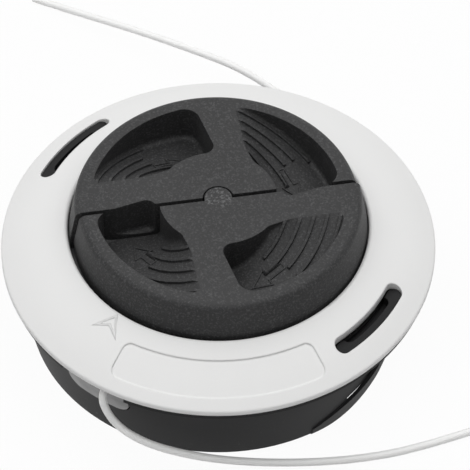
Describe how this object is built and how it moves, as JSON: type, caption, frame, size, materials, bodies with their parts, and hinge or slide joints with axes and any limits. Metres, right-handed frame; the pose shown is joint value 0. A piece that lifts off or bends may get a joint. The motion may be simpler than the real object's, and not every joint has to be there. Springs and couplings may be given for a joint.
{
  "type": "trimmer head",
  "caption": "Bump-feed string trimmer head: conical cover ring, bump knob with finger pockets, latched housing with metal line eyelets, sprung line spool and threaded drive nut.",
  "frame": {"origin": "on the spin axis, at the hub's gearbox face", "axes": "+Z along the spin axis from the gearbox face towards the bump knob; the picture looks along +Y"},
  "size_m": [0.1455, 0.2046, 0.0517],
  "materials": {
    "housing_plastic": "black moulded polyamide",
    "knob_plastic": "black moulded polyamide, fine grain",
    "cover_plastic": "white moulded polyamide, satin",
    "spool_plastic": "black moulded polyamide",
    "eyelet_metal": "tumbled, satin",
    "nut_steel": "zinc plated",
    "spring_steel": "drawn wire",
    "line_nylon": "natural nylon line, translucent"
  },
  "bodies": {
    "housing": {"housing": "housing_plastic", "drive_hub": "housing_plastic", "drive_nut": "nut_steel", "eyelet_front": "eyelet_metal", "eyelet_rear": "eyelet_metal", "cover": "cover_plastic", "feed_spring": "spring_steel", "line_front": "line_nylon", "line_rear": "line_nylon"},
    "washer": {"spring_washer": "spring_steel"},
    "spool": {"spool": "spool_plastic", "winding_lower": "line_nylon", "winding_upper": "line_nylon", "knob_near_half": "knob_plastic", "knob_far_half": "knob_plastic"}
  },
  "joints": [
    {"name": "bump_feed", "type": "slide", "parent": "housing", "child": "washer", "axis": [0, 0, 1], "range_m": [-0.006, 0], "stiffness_N_per_m": 2500, "springref_m": 0.006, "deforming": ["feed_spring"]},
    {"name": "spool_turn", "type": "hinge", "parent": "washer", "child": "spool", "pos_m": [0, 0, 0.0325], "axis": [0, 0, 1], "continuous": true}
  ]
}
